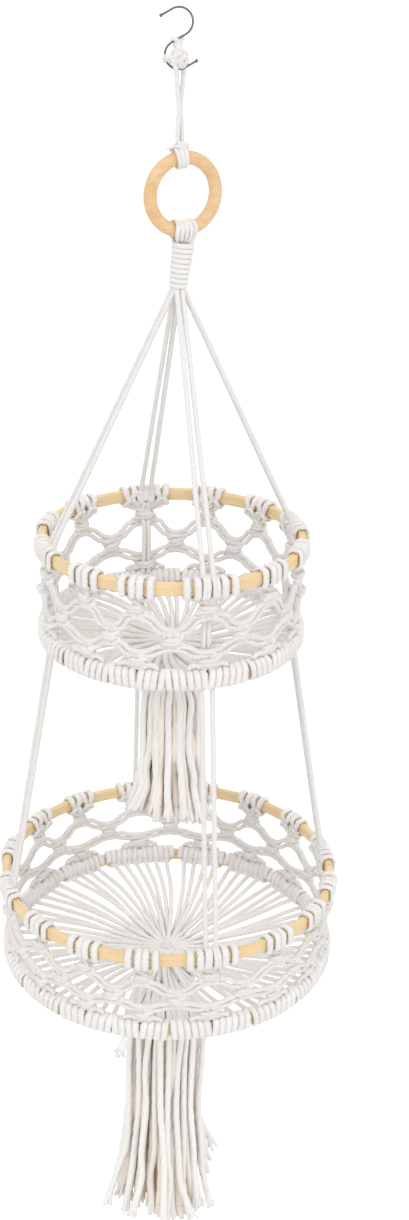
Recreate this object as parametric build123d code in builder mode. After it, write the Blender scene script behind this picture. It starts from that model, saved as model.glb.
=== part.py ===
"""A two-tier hanging fruit basket of knotted cotton cord on bamboo hoops.

It hangs from a small wire hook. The origin is the seat inside the top of that hook, +Z points up,
and every height is a drop below the seat. All lengths are in millimetres.
"""

from build123d import *
from math import acos, atan2, cos, degrees, hypot, pi, radians, sin, sqrt, tan
import os

os.makedirs("parts", exist_ok=True)

# Clearances
seat_gap = 0.3  # between a piece and what carries it
skin_gap = 0.2  # between a hoop and the cord wound on it

# Hook
hook_wire = 1.5
hook_bend_radius = 9.0
hook_bend_spacing = 20.75
hook_end_slope = 30.0
hook_end_length = 8.3
hook_ball = 2.4

# Cotton cord
cord = 3.6  # a hanger, pulled tight
net_cord = 3.2
flat_cord = 2.8  # the thickness of a cord that is pulled flat round the wood

# Hanging loop
loop_cord = 3.4
loop_front_reach = 3.1
loop_side_reach = 1.9
loop_foot_reach = 2.0
loop_corner = 3.0
loop_shift = 1.2
lump_width = 10.0
lump_depth = 8.0
lump_height = 10.6
lump_round = 2.4
ring_knot_drop = 83.0
ring_knot_radius = 6.0
ring_knot_round = 1.4

# Wooden ring
ring_drop = 118.7
ring_shift = 4.2
ring_diameter = 58.0
ring_tube = 9.3
ring_turned = 26.0
ring_hitch_width = 3.2
ring_hitches_top = 3
gather_hitch_width = 4.0
gather_hitches = 4
gather_hitch_offset = 3.0
hitch_side_gap = 0.35

# Gathering wrap
wrap_cord = 2.8
wrap_pitch = 3.25
wrap_turns = 9
wrap_top_radius = 5.9
wrap_bottom_radius = 4.8
wrap_top_shift = 5.0
wrap_bottom_shift = 2.8
wrap_neck = 0.5

# Hoops
hoop_height = 9.5
hoop_thickness = 5.5
hoop_corner = 1.8
hanger_angle = 15.0  # of the first pair of hangers, from +X
hanger_pairs = 4
hanger_spread = 3.9  # half the distance between the two cords of a pair at a hoop
hanger_inner_spread = 2.2
hanger_root_radius = 4.9

# Hitches on the rims and wraps on the base hoops
loop_gap = 0.15  # between two loops side by side, at their inner faces
hitch_width = 4.6
hitch_opening = 2.4  # between the two loops of one lark's head
hanger_hitch_width = 3.0
hitch_bevel = 2.2
wrap_loop_pitch = 4.7
wrap_loop_width = 4.3
regular_loops = 8
wide_loops = 12

# Net
net_knot_radius = 5.2
net_knot_depth = 6.4
net_knot_round = 1.5
link_gap = 0.8  # between the two cords of a link
link_trim = 5.8
rim_strand_drop = 2.4
middle_row_share = 0.58
rim_reach_shares = (0.93, 0.46)
foot_strand_reach = 14.5
foot_strand_slope = 22.0

# Base and tassels
base_sag = 12.0
base_start_drop = 1.0
base_layers = 3
layer_pitch = 3.6
crown_round = 2.5
tie_cord = 3.0
tie_pitch = 3.5
tie_turns = 3
neck_dome_radius = 10.0
neck_shoulder_slope = 25.0
tassel_cord = 3.2
tassel_flare_length = 14.0
tassel_bend_radius = 18.0
golden_angle = 137.508
ragged_share = 0.12

# Upper basket
upper_rim_diameter = 195.0
upper_base_diameter = 191.0
upper_rim_drop = 366.3
upper_depth = 69.3
upper_regular = 2  # regular clusters between two hanger pairs
upper_base_cords = 48
upper_neck_radius = 16.6
upper_flare_radius = 21.0
upper_tassel_radius = 31.5
upper_tassel_drop = 597.0

# Lower basket
lower_rim_diameter = 260.0
lower_base_diameter = 255.0
lower_rim_drop = 644.8
lower_depth = 62.7
lower_regular = 3
lower_base_cords = 72
lower_neck_radius = 20.2
lower_flare_radius = 24.0
lower_tassel_radius = 46.0
lower_tassel_drop = 978.0

quarter = 360 / hanger_pairs
ring_mean_radius = (ring_diameter - ring_tube) / 2
hoop_skin = hoop_height / 2 + skin_gap + flat_cord
hoop_side = hoop_thickness / 2 + skin_gap + flat_cord
link_spread = (net_cord + link_gap) / 2


def save(part, name):
    """Labels a finished piece and writes its file."""
    part.label = name
    export_step(part, f"parts/{name}.step")


def rod(start, end, diameter):
    """A straight length of cord between two points."""
    start, end = Vector(start), Vector(end)
    along = end - start
    place = Plane(origin=start, z_dir=along).location
    base = (Align.CENTER, Align.CENTER, Align.MIN)
    return place * Cylinder(diameter / 2, along.length, align=base, mode=Mode.PRIVATE)


def polar(radius, angle, height):
    """A point at a radius and angle about the basket's axis."""
    return Vector(radius * cos(radians(angle)), radius * sin(radians(angle)), height)


def bent_cord(points, diameter, radii):
    """A cord along straight runs joined by arcs."""
    with BuildPart() as tube:
        with BuildLine() as path:
            FilletPolyline(*points, radius=radii)
        with BuildSketch(Plane(origin=path.line @ 0, z_dir=path.line % 0)):
            Circle(diameter / 2)
        sweep()
    return tube.part


def winding(top, bottom, top_radius, bottom_radius, turns, diameter, name):
    """One unbroken cord wound round a leaning axis, as arcs of a quarter turn."""
    top, bottom = Vector(top), Vector(bottom)
    steps = 4 * turns

    def at(step):
        share = step / steps
        centre = top + (bottom - top) * share
        radius = top_radius + (bottom_radius - top_radius) * share
        return centre + polar(radius, -90 + 90 * step, 0)

    with BuildPart() as coil:
        with BuildLine() as path:
            for step in range(steps):
                ThreePointArc(at(step), at(step + 1 / 2), at(step + 1))
        with BuildSketch(Plane(origin=path.line @ 0, z_dir=path.line % 0)):
            Circle(diameter / 2)
        sweep()
    points = [at(step / 4) for step in range(4 * steps + 1)]
    apart = 12
    least = min(
        (points[i] - points[j]).length
        for i in range(len(points))
        for j in range(i + apart, len(points))
    )
    print(f"{name}: least gap between turns {least - diameter:.2f} mm")
    return coil.part


# Hook
upper_bend = hook_wire / 2 - hook_bend_radius
lower_bend = upper_bend - hook_bend_spacing
hook_lean = degrees(acos(2 * hook_bend_radius / hook_bend_spacing))
with BuildPart() as s_hook:
    with BuildLine(Plane.XZ) as hook_path:
        top_arc = CenterArc(
            (0, upper_bend),
            hook_bend_radius,
            90 + hook_end_slope,
            -180 - hook_end_slope + hook_lean,
        )
        bottom_arc = CenterArc(
            (0, lower_bend),
            hook_bend_radius,
            90 + hook_lean,
            180 + hook_end_slope - hook_lean,
        )
        Line(top_arc @ 1, bottom_arc @ 0)
        top_end = PolarLine(top_arc @ 0, hook_end_length, 180 + hook_end_slope)
        bottom_end = PolarLine(bottom_arc @ 1, hook_end_length, hook_end_slope)
    with BuildSketch(Plane(origin=top_end @ 1, z_dir=(top_end % 1) * -1)):
        Circle(hook_wire / 2)
    sweep(path=hook_path.wire())
    with Locations(top_end @ 1, bottom_end @ 1):
        Sphere(hook_ball / 2)
save(s_hook.part, "s_hook")

# Hanging loop: two legs from the ring's knot, over the hook's lower bend
wire_floor = lower_bend - hook_bend_radius
loop_top = wire_floor + hook_wire / 2 + seat_gap + loop_cord / 2
knot_top = -ring_knot_drop
hanging_loop = bent_cord(
    [
        (loop_shift - loop_foot_reach, 0, knot_top + seat_gap),
        (-loop_side_reach, -loop_front_reach, loop_top),
        (loop_side_reach, loop_front_reach, loop_top),
        (loop_shift + loop_foot_reach, 0, knot_top + seat_gap),
    ],
    loop_cord,
    loop_corner,
)
save(hanging_loop, "hanging_loop")

with BuildPart() as loop_lump:
    lump_floor = loop_top + loop_cord / 2 + seat_gap
    with BuildSketch(Plane.XY.offset(lump_floor)):
        Ellipse(lump_width / 2, lump_depth / 2)
    extrude(amount=lump_height)
    fillet(loop_lump.edges().group_by(Axis.Z)[0], lump_round)
    fillet(loop_lump.edges().group_by(Axis.Z)[-1], lump_round)
save(loop_lump.part, "loop_lump")

# Wooden ring with the hitches of the hanging loop and of the gathered cords
ring_plane = Plane(
    origin=(ring_shift, 0, -ring_drop),
    x_dir=(cos(radians(ring_turned)), sin(radians(ring_turned)), 0),
    z_dir=(sin(radians(ring_turned)), -cos(radians(ring_turned)), 0),
)
with BuildPart() as wooden_ring:
    with Locations(ring_plane):
        Torus(ring_mean_radius, ring_tube / 2)
save(wooden_ring.part, "wooden_ring")


def ring_collars(count, width, middle_angle):
    """Cords folded round the ring's tube, side by side along it."""
    turn = degrees(width / ring_mean_radius)
    pitch = degrees((width + hitch_side_gap) / ring_mean_radius)
    inner = ring_tube / 2 + skin_gap
    with BuildPart() as collar:
        with BuildSketch(Plane.XZ):
            with Locations((ring_mean_radius, 0)):
                Circle(inner + flat_cord)
                Circle(inner, mode=Mode.SUBTRACT)
        revolve(axis=Axis.Z, revolution_arc=turn)
    first = middle_angle - (count - 1) / 2 * pitch - turn / 2
    turns = [Location((0, 0, 0), (0, 0, first + i * pitch)) for i in range(count)]
    with BuildPart() as collars:
        with Locations(*[ring_plane.location * turned_by for turned_by in turns]):
            add(collar.part)
    return collars.part


top_offset = degrees((loop_shift - ring_shift) / ring_mean_radius)
gather_offset = degrees(gather_hitch_offset / ring_mean_radius)
ring_top_hitch = ring_collars(ring_hitches_top, ring_hitch_width, 90 - top_offset)
save(ring_top_hitch, "ring_top_hitch")
gather_hitch = ring_collars(gather_hitches, gather_hitch_width, -90 + gather_offset)
save(gather_hitch, "gather_hitches")

with BuildPart() as ring_knot:
    knot_floor = -ring_drop + ring_diameter / 2 + skin_gap + flat_cord + seat_gap
    with BuildSketch(Plane.XY.offset(knot_floor)):
        with Locations((loop_shift, 0)):
            Circle(ring_knot_radius)
    extrude(amount=knot_top - knot_floor)
    fillet(ring_knot.edges().filter_by(GeomType.CIRCLE), ring_knot_round)
save(ring_knot.part, "ring_knot")

# Gathered cords under the ring and the cord wound round them
hitch_floor = -ring_drop - ring_diameter / 2 - skin_gap - flat_cord
core_top = hitch_floor - wrap_neck
wrap_top = core_top - wrap_cord / 2
wrap_bottom = wrap_top - wrap_pitch * wrap_turns
core_bottom = wrap_bottom - wrap_cord / 2
lean = Vector(wrap_bottom_shift - wrap_top_shift, 0, core_bottom - core_top)
with BuildPart() as gather_core:
    core_inset = wrap_cord / 2 + seat_gap
    with BuildSketch(Plane((wrap_top_shift, 0, core_top), z_dir=lean)):
        Circle(wrap_top_radius - core_inset)
    with BuildSketch(Plane((wrap_bottom_shift, 0, core_bottom), z_dir=lean)):
        Circle(wrap_bottom_radius - core_inset)
    loft()
save(gather_core.part, "gather_core")
gather_wrap = winding(
    (wrap_top_shift, 0, wrap_top),
    (wrap_bottom_shift, 0, wrap_bottom),
    wrap_top_radius,
    wrap_bottom_radius,
    wrap_turns,
    wrap_cord,
    "gather_wrap",
)
save(gather_wrap, "gather_wrap")


def rim_places(rim_radius):
    """Where the loops of a cluster sit along the rim: of a regular one, the hangers, a wide one."""
    crowding = rim_radius / (rim_radius - hoop_side)  # the loops lie closest at their inner faces
    lark = hitch_width + hitch_opening
    regular = crowding * (hitch_width + loop_gap) / 2
    hanger = crowding * (hanger_hitch_width + loop_gap) / 2
    wide = 3 * hanger + crowding * ((hanger_hitch_width + hitch_width) / 2 + loop_gap)
    return (regular, regular + lark), (hanger, 3 * hanger), (wide, wide + lark)


def both_sides(places):
    """Each place and its mirror image."""
    return [side * place for place in places for side in (-1, 1)]


def hoop(diameter, height):
    """A bamboo strip bent round and joined, standing on its edge."""
    with BuildPart() as strip:
        with BuildSketch(Plane.XZ):
            with Locations(((diameter - hoop_thickness) / 2, height)):
                RectangleRounded(hoop_thickness, hoop_height, hoop_corner)
        revolve(axis=Axis.Z)
    return strip.part


def hitch(diameter, height, width):
    """One loop of cord round a hoop's section, at angle 0."""
    inner = (hoop_thickness + 2 * skin_gap, hoop_height + 2 * skin_gap)
    with BuildPart() as loop:
        with BuildSketch(Plane.XZ):
            with Locations(((diameter - hoop_thickness) / 2, height)):
                outline = Rectangle(inner[0] + 2 * flat_cord, inner[1] + 2 * flat_cord)
                chamfer(outline.vertices(), hitch_bevel)
                Rectangle(*inner, mode=Mode.SUBTRACT)
        extrude(amount=width / 2, both=True)
    return loop.part


def turned(part, angles):
    """Copies of a part, one at each angle about the basket's axis."""
    with BuildPart() as copies:
        with Locations(*[Location((0, 0, 0), (0, 0, angle)) for angle in angles]):
            add(part)
    return copies.part


def strands(pieces):
    """A quarter of a basket's cords, repeated at every pair of hangers."""
    with BuildPart() as cords:
        with PolarLocations(0, hanger_pairs, start_angle=hanger_angle):
            add(pieces)
    return cords.part


def basket(
    tier, rim_diameter, base_diameter, rim_drop, depth, regulars, base_cords,
    neck_radius, flare_radius, tassel_radius, tassel_drop,
):
    """The hoops, hitches, net, base and tassel of one tier."""
    rim, base = -rim_drop, -rim_drop - depth
    rim_radius = (rim_diameter - hoop_thickness) / 2
    base_radius = (base_diameter - hoop_thickness) / 2
    clusters = hanger_pairs * (regulars + 1)
    regular_places, hanger_places, wide_places = rim_places(rim_radius)

    # Clusters share the base hoop by the loops that each winds on it
    loop_turn = degrees(wrap_loop_pitch / base_radius)
    loops = hanger_pairs * (wide_loops + regulars * regular_loops)
    gap_turn = (360 - loops * loop_turn) / clusters
    first_turn = (wide_loops + regular_loops) / 2 * loop_turn + gap_turn
    next_turn = regular_loops * loop_turn + gap_turn
    centres = [0] + [first_turn + i * next_turn for i in range(regulars)]
    ends = centres + [quarter]

    def wall(angle, along, drop):
        """A point of the net, along its wall from an angle and below the rim."""
        radius = rim_radius + (base_radius - rim_radius) * drop / depth
        return polar(radius, angle + degrees(along / radius), rim - drop)

    save(hoop(rim_diameter, rim), f"{tier}_rim_hoop")
    save(hoop(base_diameter, base), f"{tier}_base_hoop")

    # Hitches round the rim
    rim_hitch = hitch(rim_diameter, rim, hitch_width)
    hanger_hitch = hitch(rim_diameter, rim, hanger_hitch_width)
    places = [
        hanger_angle + pair * quarter + centre + degrees(place / rim_radius)
        for pair in range(hanger_pairs)
        for centre in centres
        for place in both_sides(regular_places if centre else wide_places)
    ]
    save(turned(rim_hitch, places), f"{tier}_rim_hitches")
    places = [
        hanger_angle + pair * quarter + degrees(place / rim_radius)
        for pair in range(hanger_pairs)
        for place in both_sides(hanger_places)
    ]
    save(turned(hanger_hitch, places), f"{tier}_hanger_hitches")

    # Loops wound round the base hoop
    places = [
        hanger_angle + pair * quarter + centre + (i - (count - 1) / 2) * loop_turn
        for pair in range(hanger_pairs)
        for centre, count in zip(centres, [wide_loops] + [regular_loops] * regulars)
        for i in range(count)
    ]
    wound = hitch(base_diameter, base, wrap_loop_width)
    save(turned(wound, places), f"{tier}_base_wraps")

    # Rows of knots, on staggered places
    top_row = hoop_skin + rim_strand_drop + net_knot_radius
    bottom_row = depth - hoop_skin - seat_gap - net_knot_radius
    middle_row = top_row + (bottom_row - top_row) * middle_row_share
    middles = [(a + b) / 2 for a, b in zip(ends, ends[1:])]
    knot_rows = (
        ("top", top_row, centres),
        ("middle", middle_row, middles),
        ("bottom", bottom_row, centres),
    )
    for row, drop, angles in knot_rows:
        with BuildPart() as knots:
            for angle in angles:
                centre = wall(angle, 0, drop)
                outward = Vector(centre.X, centre.Y, 0)
                with Locations(Plane(origin=centre, z_dir=outward)):
                    Cylinder(net_knot_radius, net_knot_depth)
            fillet(knots.edges().filter_by(GeomType.CIRCLE), net_knot_round)
        save(strands(knots.part), f"{tier}_{row}_knots")

    # Links of two cords between the rows
    def crowded_trim(across):
        """How far from a middle knot the two links on one side of it clear each other."""
        slopes = atan2(middle_row - top_row, across) + atan2(bottom_row - middle_row, across)
        return (net_cord / 2 + skin_gap) / sin(slopes / 2) + link_spread / tan(slopes / 2)

    def links(upper_drop, lower_drop, pairs):
        pieces = []
        for upper_angle, lower_angle in pairs:
            radius = wall(0, 0, (upper_drop + lower_drop) / 2).X
            across = radians(lower_angle - upper_angle) * radius
            down = lower_drop - upper_drop
            length = hypot(across, down)
            unit = (across / length, down / length)
            crowded = max(link_trim, crowded_trim(abs(across)))
            for side in (-link_spread, link_spread):
                aside = (-unit[1] * side, unit[0] * side)
                faces_down = aside[1] > 0
                trim = crowded if upper_drop == middle_row and not faces_down else link_trim
                near = (unit[0] * trim + aside[0], unit[1] * trim + aside[1])
                trim = crowded if lower_drop == middle_row and faces_down else link_trim
                far = (
                    across - unit[0] * trim + aside[0],
                    down - unit[1] * trim + aside[1],
                )
                start = wall(upper_angle, near[0], upper_drop + near[1])
                end = wall(upper_angle, far[0], upper_drop + far[1])
                pieces.append(rod(start, end, net_cord))
        return pieces

    steps = list(zip(ends, ends[1:], middles))
    from_top = [(a, m) for a, b, m in steps] + [(b, m) for a, b, m in steps]
    to_bottom = [(m, a) for a, b, m in steps] + [(m, b) for a, b, m in steps]
    save(strands(links(top_row, middle_row, from_top)), f"{tier}_upper_links")
    save(strands(links(middle_row, bottom_row, to_bottom)), f"{tier}_lower_links")

    # Cords from the rim's hitches to the top knots, where a wide cluster's inner ones lie behind
    pieces = []
    under_rim = hoop_skin + seat_gap
    end_reach = net_knot_radius + net_cord / 4
    outer_share, inner_share = rim_reach_shares
    reaches = [(0, wide_places[1], outer_share)]
    for centre in centres[1:]:
        reaches += [(centre, regular_places[0], inner_share)]
        reaches += [(centre, regular_places[1], outer_share)]
    for centre, place, share in reaches:
        end = (share * end_reach, top_row - end_reach * sqrt(1 - share * share))
        slant = atan2(abs(place - end[0]), end[1] - under_rim)
        start_drop = under_rim + net_cord / 2 * sin(slant)
        for side in (-1, 1):
            start = wall(centre, side * place, start_drop)
            pieces.append(rod(start, wall(centre, side * end[0], end[1]), net_cord))
    save(strands(pieces), f"{tier}_rim_strands")

    # Cords from beside the bottom knots out to the base hoop
    pieces = []
    foot_drop = depth - hoop_skin - 2 * seat_gap - net_cord / 2
    foot_reach = net_knot_radius + net_cord / 2 + seat_gap
    foot_along = foot_reach * cos(radians(foot_strand_slope))
    foot_below = foot_reach * sin(radians(foot_strand_slope))
    for centre in centres:
        for side in (-1, 1):
            start = wall(centre, side * foot_along, bottom_row + foot_below)
            pieces.append(rod(start, wall(centre, side * foot_strand_reach, foot_drop), net_cord))
    save(strands(pieces), f"{tier}_foot_strands")

    # Hangers inside the net, from the rim down to the base hoop
    if tier == "upper":
        inset = net_knot_depth / 2 + seat_gap + cord / 2
        pieces = []
        for side in (-1, 1):
            spread = side * hanger_inner_spread
            ends_at = [
                Vector(rim_radius - inset, spread, rim - hoop_skin - seat_gap),
                Vector(base_radius - inset, spread, base + hoop_skin + seat_gap),
            ]
            pieces.append(rod(*ends_at, cord))
        save(strands(pieces), "upper_inner_hangers")

    # Base: cords from the hoop to the middle, in layers where they crowd together
    base_slope = atan2(base_sag + base_layers * layer_pitch, base_radius)
    outer = base_radius - hoop_side - seat_gap - net_cord / 2 * sin(base_slope)
    per_quarter = base_cords // hanger_pairs
    inner = net_cord / 2 / sin(pi * base_layers / base_cords) + seat_gap
    pieces = []
    for k in range(per_quarter):
        angle = k * quarter / per_quarter
        layer = k % base_layers
        start = polar(outer, angle, base - base_start_drop)
        end = polar(inner, angle, base - base_sag - layer * layer_pitch)
        pieces.append(rod(start, end, net_cord))
    save(strands(pieces), f"{tier}_base_cords")
    crown_top = base - base_sag + net_cord / 2
    crown_bottom = base - base_sag - (base_layers - 1) * layer_pitch - net_cord / 2
    with BuildPart() as crown:
        with BuildSketch(Plane.XY.offset(crown_bottom)):
            Circle(inner - seat_gap - net_cord / 4)
        extrude(amount=crown_top - crown_bottom)
        fillet(crown.edges().group_by(Axis.Z)[-1], crown_round)
    save(crown.part, f"{tier}_base_crown")

    # Tassel: a tied neck, then the cords' free ends
    neck_top = crown_bottom - seat_gap
    tassel_pivot = neck_top - neck_dome_radius
    steepest = 90 - neck_shoulder_slope
    dome_edge = polar(neck_dome_radius, steepest, 0) + Vector(0, tassel_pivot)
    shoulder_drop = (neck_radius - dome_edge.X) * tan(radians(neck_shoulder_slope))
    tie_high = dome_edge.Y - shoulder_drop
    neck_bottom = tie_high - tie_turns * tie_pitch - tie_cord
    with BuildPart() as neck:
        with BuildSketch(Plane.XZ):
            with BuildLine():
                CenterArc((0, tassel_pivot), neck_dome_radius, 90, -neck_shoulder_slope)
                Polyline(
                    dome_edge,
                    (neck_radius, tie_high),
                    (neck_radius, neck_bottom),
                    (0, neck_bottom),
                    (0, neck_top),
                )
            make_face()
        revolve(axis=Axis.Z)
    save(neck.part, f"{tier}_tassel_neck")
    tie_radius = neck_radius + seat_gap + tie_cord / 2
    tie_top = tie_high - tie_cord / 2
    tie = winding(
        (0, 0, tie_top),
        (0, 0, tie_top - tie_turns * tie_pitch),
        tie_radius,
        tie_radius,
        tie_turns,
        tie_cord,
        f"{tier}_tassel_tie",
    )
    save(tie, f"{tier}_tassel_tie")
    ends_below = []
    room = neck_radius - tassel_cord / 2
    flare_slope = atan2(flare_radius - room, tassel_flare_length)
    strand_top = neck_bottom - seat_gap - tassel_cord / 2 * sin(flare_slope)
    flare_at = strand_top - tassel_flare_length
    for k in range(base_cords):
        share = sqrt((k + 1 / 2) / base_cords)
        angle = k * golden_angle
        shortened = ragged_share * ((k * golden_angle / 360) % 1)
        full = -tassel_drop - flare_at
        bottom = flare_at + full * (1 - shortened)
        spread = flare_radius + (tassel_radius - flare_radius) * (1 - shortened)
        ends_below.append(
            bent_cord(
                [
                    polar(room * share, angle, strand_top),
                    polar(flare_radius * share, angle, flare_at),
                    polar(spread * share, angle, bottom),
                ],
                tassel_cord,
                tassel_bend_radius,
            )
        )
    with BuildPart() as tassel:
        add(ends_below)
    save(tassel.part, f"{tier}_tassel")


basket(
    "upper", upper_rim_diameter, upper_base_diameter, upper_rim_drop, upper_depth,
    upper_regular, upper_base_cords, upper_neck_radius, upper_flare_radius,
    upper_tassel_radius, upper_tassel_drop,
)
basket(
    "lower", lower_rim_diameter, lower_base_diameter, lower_rim_drop, lower_depth,
    lower_regular, lower_base_cords, lower_neck_radius, lower_flare_radius,
    lower_tassel_radius, lower_tassel_drop,
)

# Hangers from the gathered cords to the upper rim
rim_top = -upper_rim_drop + hoop_skin + seat_gap
root_top = core_bottom - seat_gap
rim_radius = (upper_rim_diameter - hoop_thickness) / 2
hanger_lean = atan2(rim_radius - hanger_root_radius, root_top - rim_top)
tilted_end = cord / 2 * sin(hanger_lean)  # how far a leaning cord's end reaches along Z
pieces = []
for pair in range(hanger_pairs):
    angle = hanger_angle + pair * quarter
    for side in (-1, 1):
        root = polar(hanger_root_radius, angle + side * quarter / 4, root_top - tilted_end)
        foot_turn = degrees(side * hanger_spread / rim_radius)
        foot = polar(rim_radius, angle + foot_turn, rim_top + tilted_end)
        pieces.append(rod(root + Vector(wrap_bottom_shift, 0, 0), foot, cord))
with BuildPart() as upper_hangers:
    add(pieces)
save(upper_hangers.part, "upper_hangers")

# Hangers from the upper base hoop to the lower rim
top_radius = (upper_base_diameter - hoop_thickness) / 2
foot_radius = (lower_rim_diameter - hoop_thickness) / 2
top_height = -upper_rim_drop - upper_depth - hoop_skin - seat_gap
foot_height = -lower_rim_drop + hoop_skin + seat_gap
tilted_end = cord / 2 * sin(atan2(foot_radius - top_radius, top_height - foot_height))
pieces = []
for side in (-1, 1):
    top = Vector(top_radius, side * hanger_spread, top_height - tilted_end)
    foot = Vector(foot_radius, side * hanger_spread, foot_height + tilted_end)
    pieces.append(rod(top, foot, cord))
save(strands(pieces), "lower_hangers")
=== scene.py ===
"""The looks of a two-tier hanging fruit basket: twisted cotton cord knotted on bamboo hoops.

Lengths are in metres and angles in radians, except where a name says degrees.
"""

from math import ceil, cos, hypot, pi, radians, sin, sqrt, tan, tau

import bpy
import numpy as np
from mathutils import Matrix, Vector


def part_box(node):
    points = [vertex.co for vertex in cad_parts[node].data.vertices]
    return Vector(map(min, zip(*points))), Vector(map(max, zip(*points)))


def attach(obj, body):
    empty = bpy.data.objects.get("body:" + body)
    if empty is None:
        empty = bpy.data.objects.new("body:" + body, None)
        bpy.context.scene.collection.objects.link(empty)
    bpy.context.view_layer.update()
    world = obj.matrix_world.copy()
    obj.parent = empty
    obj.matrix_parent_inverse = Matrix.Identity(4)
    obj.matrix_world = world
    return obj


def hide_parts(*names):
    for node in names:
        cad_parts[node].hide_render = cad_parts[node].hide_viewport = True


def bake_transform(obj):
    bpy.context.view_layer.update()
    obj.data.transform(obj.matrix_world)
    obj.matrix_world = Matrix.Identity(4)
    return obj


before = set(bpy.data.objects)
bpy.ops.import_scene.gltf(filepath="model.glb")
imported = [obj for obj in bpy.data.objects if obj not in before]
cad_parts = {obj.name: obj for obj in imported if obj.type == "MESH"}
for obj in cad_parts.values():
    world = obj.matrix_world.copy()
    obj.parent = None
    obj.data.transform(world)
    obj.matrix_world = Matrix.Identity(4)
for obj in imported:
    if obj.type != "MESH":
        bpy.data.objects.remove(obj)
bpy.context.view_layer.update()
chance = np.random.default_rng(11)

# Camera, fitted to the photograph
camera_place = (0, -1.2334, 0.1161)
camera_down_degrees = 24.107
camera_roll_degrees = 0.77
camera_lens = 53.77
camera_shift = (0.0275, 0.0129)

# Cotton cord
cord = 0.0041
net_cord = 0.0041
loop_cord = 0.0036
tassel_cord = 0.0054
thin_cord = 0.0030  # wound round, or bundled
flat_width = 0.0056
flat_depth = 0.0032
skin_gap = 0.0002
lay = 0.0125  # the length of one turn of the cord's three strands
loose_lay = 0.045
crease_share = 0.90
sides = 9
fine_step = 0.0012
net_step = 0.0014
coarse_step = 0.0024

# Hanging loop, with its lump in the hook's bend
lump_centre = (0.0004, 0.0002, -0.0313)
lump_radius = 0.0043
lump_core = 0.0072
lump_rise = 0.0009

# Wooden ring and the cord round it
ring_turned = radians(26)
ring_tube = 0.0093
ring_cover = 0.0014
ring_away = ring_tube / 2 + skin_gap + ring_cover
top_turn_pitch = 0.0030
top_turn_angle = radians(95.5)
top_turn_size = (0.0036, 0.0028)
top_turn_start, top_turn_slant, top_turn_squeeze = 0.15, 0.25, 0.18
top_knot_share = 0.86
knot_tail = 0.0028
fold_count = 5
fold_pitch = 0.0036
fold_offset = 0.0003
fold_spread = 0.0022
fold_reach = 0.0021
fold_squeeze = 0.62
fold_leg_size, fold_size = (0.0034, 0.0030), (0.0040, 0.0028)

# Bundle of hangers under the ring
wrap_top_x, wrap_bottom_x = 0.0050, 0.0018
wrap_top_radius, wrap_bottom_radius = 0.0068, 0.0052
wrap_rise = 0.0020
gather_turns = 9
bundle_count = 8
bundle_radius = 0.0028

# Hoops and hangers
hoop_thickness = 0.0055
hoop_height = 0.0095
hoop_cover = 0.0028
hoop_skin = hoop_height / 2 + skin_gap + hoop_cover
hoop_side = hoop_thickness / 2 + skin_gap + hoop_cover
flat_side = hoop_thickness / 2 + skin_gap + flat_depth / 2
flat_rise = hoop_height / 2 + skin_gap + flat_depth / 2
hanger_angle = radians(15)
hanger_pairs = 4
quarter = tau / hanger_pairs
each_hanger = [(pair, side) for pair in range(hanger_pairs) for side in (-1, 1)]
hanger_spread = 0.0039
inner_hanger_depth, knot_hanger_depth = 0.0056, 0.0024

# Hitches and wraps
hitch_width = 0.0046
hitch_opening = 0.0027
hitch_start = 0.75 * pi
hang_share, bar_share = 0.52, 0.45
leg_out = 0.0006
hanger_hitch_width = 0.0030
hanger_hitch_band = hanger_hitch_width * 1.25
loop_gap = 0.00015
wrap_loop_pitch = 0.0047
# Gaps between the base hoop's clusters: everywhere, extra at some, and extra at the back
closed_gap = 0.0004
near_gap = 0.0024
far_gap = 0.0042
wrap_fullness = 1.16
wrap_turns = 2.2
wrap_start = 0.62 * pi
wrap_jitter = 0.00018
wrap_lead, wrap_trail = 1.08, 0.92
regular_loops = 8
wide_loops = 12
section_steps = 10
section_power = 3.2

# Net
knot_reach = 0.0052
wide_knot = 1.35
wide_knot_back = 1.7
knot_fullness = 1.12
knot_jitter = 0.00012
link_bow = 0.0010
link_shares = (0.2, 0.5, 0.8)
foot_reach = 0.0150
core_foot_share = 0.45
rim_strand_drop = 0.0024
entry_drop, entry_depth = 0.0006, 0.0022
working_entry_share, core_entry_share = 0.72, 0.6
row_clearance = 0.0003
middle_row_share = 0.58

# Floors
floor_cord = net_cord * 0.97
floor_gap = 0.0022
floor_drop = 0.001
floor_sag_power = 1.25
floor_jitter = 0.0004
floor_drift, floor_wave = 0.0003, 0.03
floor_turn_share = 0.5
base_sag = 0.012
base_layers = 3
layer_pitch = 0.0036
crown_share = 0.72
reach_share, layer_reach_share = 0.30, 0.07

# Tassels and the stray end
fray_reach = 0.011
front_trim = 0.0095
golden_angle = radians(137.508)
strand_jitter = 0.0010
strand_twist, strand_turn_jitter = 0.06, 0.035
ragged_share, ragged_chance = 0.14, 0.02
flare_share, flare_end, flare_taper = 0.56, 0.12, 0.06
splay_least, splay_more, splay_power = 0.27, 0.66, 5
hidden_within, hidden_rate, hidden_most = 0.86, 2.2, 0.9
hidden_share = 0.5
neck_dome = 0.0042
neck_dome_drop = 0.0012
neck_shoulder_slope = radians(25)
tie_turns = 3.5
turn_steps = 16
stray_width = 0.0068
stray_fray = 0.007


def set_camera():
    """The camera at the photograph's viewing angle."""
    data = bpy.data.cameras.new("camera")
    data.lens = camera_lens
    data.shift_x, data.shift_y = camera_shift
    data.clip_end = 100
    camera = bpy.data.objects.new("camera", data)
    tilt = Matrix.Rotation(radians(90 - camera_down_degrees), 4, "X")
    roll = Matrix.Rotation(radians(camera_roll_degrees), 4, "Z")
    camera.matrix_world = Matrix.Translation(camera_place) @ tilt @ roll
    bpy.context.scene.collection.objects.link(camera)
    bpy.context.scene.camera = camera


set_camera()


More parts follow.
